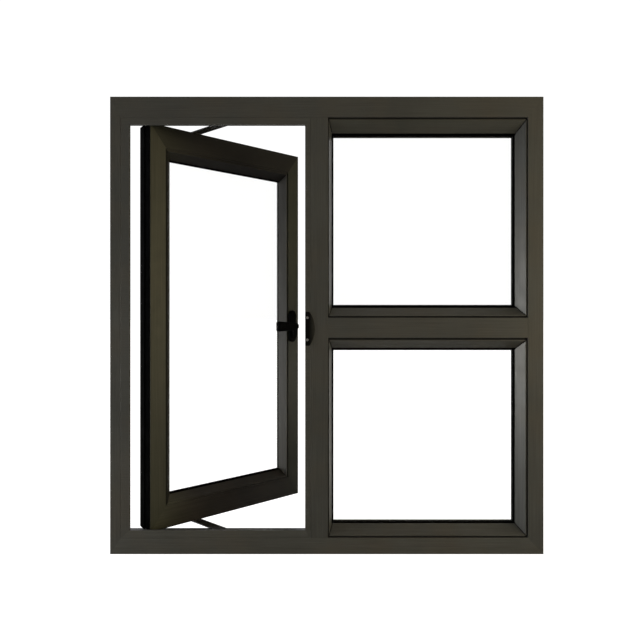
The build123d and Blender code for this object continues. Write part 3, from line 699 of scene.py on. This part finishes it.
# countersunk screws with a cross recess, each kind modelled once
screws = {
    "stay": {
        "head": 0.0038, "headDepth": 0.0022, "shank": 0.0020, "length": 0.0090,
        "slot": 0.0009, "reach": 0.0023,
    },
    "small": {
        "head": 0.0028, "headDepth": 0.0016, "shank": 0.0015, "length": 0.0052,
        "slot": 0.0007, "reach": 0.0017,
    },
    "sides": 32, "rim": 0.00015, "rimSteps": 2, "slotDepth": 0.0011, "smoothAngle": 40,
    "straightShare": 0.8, "pointShare": 0.2, "pointWidth": 0.35,  # of the shank
    "vertical": 0.0088,  # a taller screw stands upright
}


def makeScrew(kind):
    size = screws[kind]
    bpy.ops.object.select_all(action="DESELECT")
    bpy.ops.mesh.primitive_cone_add(
        vertices=screws["sides"], radius1=size["shank"], radius2=size["head"],
        depth=size["headDepth"], location=(0, 0, -size["headDepth"] / 2))
    obj = bpy.context.object
    obj.name = kind + "ScrewPattern"
    bpy.ops.object.transform_apply(location=True, rotation=True, scale=True)
    bpy.ops.object.mode_set(mode="EDIT")
    bpy.ops.mesh.select_mode(type="FACE")
    bpy.ops.mesh.select_all(action="DESELECT")
    mesh = bmesh.from_edit_mesh(obj.data)
    for face in mesh.faces:
        face.select_set(face.normal.z < -shaping["facing"])
    bmesh.update_edit_mesh(obj.data)
    tail = size["length"] - size["headDepth"]
    for share in (screws["straightShare"], screws["pointShare"]):
        bpy.ops.mesh.extrude_region_move(TRANSFORM_OT_translate={"value": (0, 0, -tail * share)})
    narrowed = (screws["pointWidth"], screws["pointWidth"], 1)
    bpy.ops.transform.resize(value=narrowed, center_override=(0, 0, 0))
    bpy.ops.mesh.select_mode(type="EDGE")
    pickEdges(obj, lambda edge: all(abs(v.co.z) < shaping["level"] for v in edge.verts))
    bpy.ops.mesh.bevel(offset=screws["rim"], segments=screws["rimSteps"])
    bpy.ops.object.mode_set(mode="OBJECT")
    for turn in (0, 90):
        bpy.ops.object.select_all(action="DESELECT")
        bpy.ops.mesh.primitive_cube_add(size=1, location=(0, 0, 0))
        cutter = bpy.context.object
        cutter.scale = (size["reach"] * 2, size["slot"], screws["slotDepth"] * 2)
        cutter.rotation_euler = (0, 0, math.radians(turn))
        bpy.ops.object.transform_apply(location=True, rotation=True, scale=True)
        bpy.context.view_layer.objects.active = obj
        cut = obj.modifiers.new("crossRecess", "BOOLEAN")
        cut.object = cutter
        bpy.ops.object.modifier_apply(modifier=cut.name)
        bpy.data.objects.remove(cutter)
    return obj


# where a screw node's heads are, and which way they face
def screwHeads(name, room, topFacing):
    startCopy(name, "screwFinder")
    bpy.ops.mesh.separate(type="LOOSE")
    bpy.ops.object.mode_set(mode="OBJECT")
    middle = (cadBox[0].z + cadBox[1].z) / 2
    found = []
    for part in list(bpy.context.selected_objects):
        points = [v.co.copy() for v in part.data.vertices]
        heights = [p.z for p in points]
        facing = Vector(room)
        if max(heights) - min(heights) > screws["vertical"]:
            facing = Vector((0, 0, topFacing if heights[0] > middle else -topFacing))
        front = max(p.dot(facing) for p in points)
        rim = [p for p in points if p.dot(facing) > front - shaping["level"]]
        found.append((sum(rim, Vector()) / len(rim), facing))
        bpy.data.objects.remove(part)
    return found


# upright screws hold the stays, the others show their heads to the room
def placeScrews(name, room, topFacing, smallFinish):
    copies = []
    for head, facing in screwHeads(name, room, topFacing):
        upright = facing.z != 0
        pattern = patterns["stay" if upright else "small"]
        obj = bpy.data.objects.new(pieceName(name), pattern.data.copy())
        bpy.context.collection.objects.link(obj)
        obj.data.materials.clear()
        obj.data.materials.append(finishFor(name) if upright else smallFinish)
        turn = facing.to_track_quat("Z", "Y").to_matrix().to_4x4()
        obj.data.transform(Matrix.Translation(head) @ turn)
        copies.append(obj)
    bpy.ops.object.select_all(action="DESELECT")
    for obj in copies:
        obj.select_set(True)
    bpy.context.view_layer.objects.active = copies[0]
    bpy.ops.object.join()
    finishPiece(copies[0], name, screws["smoothAngle"])
    return len(copies)


patterns = {kind: makeScrew(kind) for kind in ("stay", "small")}
print("screws placed:",
      placeScrews("frame_screws", (0, -1, 0), -1, screwSteel),
      placeScrews("sash_screws", roomward, 1, finishes["black_hardware"]))
for pattern in patterns.values():
    bpy.data.objects.remove(pattern)

# a pale floor, lifted to white for the eye alone so that no horizon shows
paleFloor = {
    "size": 80, "dark": (0.42, 0.42, 0.42), "light": (0.46, 0.46, 0.46),
    "mottle": {"scale": 3, "detail": 3}, "rough": 0.9, "glow": 1.0,
    "bounce": (0.05, 0.55), "bounceSpan": (0, 0.5),  # glow that lights the object, near and far
}


def makeFloor():
    bpy.ops.object.select_all(action="DESELECT")
    bpy.ops.mesh.primitive_plane_add(size=paleFloor["size"], location=(0, 0, 0))
    floor = bpy.context.object
    floor.name = "floor"
    mat, tree, shader = startMaterial("paleFloor")
    place = objectCoords(tree)
    mottle = noise(tree, place, **paleFloor["mottle"])
    shade = blendColours(tree, mottle, paleFloor["dark"], paleFloor["light"])
    tree.links.new(shade, shader.inputs["Base Color"])
    shader.inputs["Roughness"].default_value = paleFloor["rough"]
    shader.inputs["Emission Color"].default_value = (1, 1, 1, 1)
    away = axisOf(tree, place, "Y")
    bounce = spread(tree, away, *paleFloor["bounce"], *paleFloor["bounceSpan"])
    path = addNode(tree, "ShaderNodeLightPath")
    glow = addNode(tree, "ShaderNodeMix", B=paleFloor["glow"])
    tree.links.new(path.outputs["Is Camera Ray"], glow.inputs["Factor"])
    tree.links.new(bounce, glow.inputs["A"])
    tree.links.new(glow.outputs["Result"], shader.inputs["Emission Strength"])
    floor.data.materials.append(mat)


# white backdrop behind the window, dimmer room side and ceiling, warmer to the right
backdrop = {
    "level": (0.35, 1.05), "levelSpan": (-0.15, 0.35),  # room side and behind
    "ceiling": (1, 0.75), "ceilingSpan": (0.25, 0.75), "seenLevel": 1.08,
    "leftTone": (0.85, 0.86, 0.90), "rightTone": (2.50, 2.17, 1.52), "sideSpan": (-0.1, 0.45),
}


def makeWorld():
    world = bpy.data.worlds.new("studio")
    bpy.context.scene.world = world
    world.use_nodes = True
    tree = world.node_tree
    back = tree.nodes["Background"]
    ways = addNode(tree, "ShaderNodeTexCoord").outputs["Generated"]
    away = axisOf(tree, ways, "Y")
    front = spread(tree, away, 1, 0, *backdrop["levelSpan"])
    right = spread(tree, axisOf(tree, ways, "X"), 0, 1, *backdrop["sideSpan"])
    side = multiply(tree, right, front)
    tone = blendColours(tree, side, backdrop["leftTone"], backdrop["rightTone"])
    tree.links.new(tone, back.inputs["Color"])
    level = spread(tree, away, *backdrop["level"], *backdrop["levelSpan"])
    height = axisOf(tree, ways, "Z")
    ceiling = spread(tree, height, *backdrop["ceiling"], *backdrop["ceilingSpan"])
    tree.links.new(multiply(tree, level, ceiling), back.inputs["Strength"])
    seen = addNode(tree, "ShaderNodeBackground", Strength=backdrop["seenLevel"])
    seen.inputs["Color"].default_value = (1, 1, 1, 1)
    path = addNode(tree, "ShaderNodeLightPath")
    mix = addNode(tree, "ShaderNodeMixShader")
    tree.links.new(path.outputs["Is Camera Ray"], mix.inputs["Fac"])
    tree.links.new(back.outputs["Background"], mix.inputs[1])
    tree.links.new(seen.outputs["Background"], mix.inputs[2])
    tree.links.new(mix.outputs["Shader"], tree.nodes["World Output"].inputs["Surface"])


softBoxes = {
    "warm": {
        "place": (2.0, -1.3, 0.4), "size": (1.4, 1.8), "power": 21, "colour": (1.0, 0.86, 0.54),
    },
    "cool": {
        "place": (-2.4, -0.22, 0.35), "size": (1.2, 1.2), "power": 50, "colour": (1.0, 1.0, 1.0),
    },
    "lowLeft": {
        "place": (-1.8, -0.12, 0.14), "size": (0.8, 0.24), "power": 15, "colour": (1.0, 1.0, 1.0),
    },
    "lowRight": {
        "place": (1.6, -0.30, 0.14), "size": (0.8, 0.24), "power": 5, "colour": (1.0, 0.95, 0.85),
    },
}


# soft box turned to face the middle of the window
def makeSoftBox(name, place, size, power, colour):
    lamp = bpy.data.lights.new(name, "AREA")
    lamp.shape = "RECTANGLE"
    lamp.size, lamp.size_y = size
    lamp.energy = power
    lamp.color = colour
    obj = bpy.data.objects.new(name, lamp)
    obj.location = place
    middle = (cadBox[0] + cadBox[1]) / 2
    obj.rotation_euler = (middle - obj.location).to_track_quat("-Z", "Y").to_euler()
    obj.visible_camera = False
    bpy.context.collection.objects.link(obj)


# the photograph's view, in pixels of its square frame; distance is the eye's, from the room face
photo = {
    "size": 640, "frameLeft": 109.95, "frameRight": 543.65, "frameTop": 96.5,
    "eyeX": 307.5, "eyeY": 313.8, "distance": 512.8,
    "sensor": 36, "nearest": 0.01,
}


def makeCamera():
    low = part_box("left_jamb")[0]
    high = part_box("right_jamb")[1]
    pixel = (high[0] - low[0]) / (photo["frameRight"] - photo["frameLeft"])
    lens = bpy.data.cameras.new("photoCamera")
    lens.sensor_width = photo["sensor"]
    lens.lens = lens.sensor_width * photo["distance"] / photo["size"]
    lens.shift_x = 0.5 - photo["eyeX"] / photo["size"]
    lens.shift_y = photo["eyeY"] / photo["size"] - 0.5
    lens.clip_start = photo["nearest"]
    cam = bpy.data.objects.new("photoCamera", lens)
    cam.location = (
        low[0] + (photo["eyeX"] - photo["frameLeft"]) * pixel,
        low[1] - photo["distance"] * pixel,
        high[2] - (photo["eyeY"] - photo["frameTop"]) * pixel,
    )
    cam.rotation_euler = (math.radians(90), 0, 0)
    bpy.context.collection.objects.link(cam)
    bpy.context.scene.camera = cam


makeFloor()
makeWorld()
for name, box in softBoxes.items():
    makeSoftBox(name + "Box", **box)
makeCamera()
bpy.context.scene.view_settings.view_transform = "Standard"
print("stage, lights and camera set")
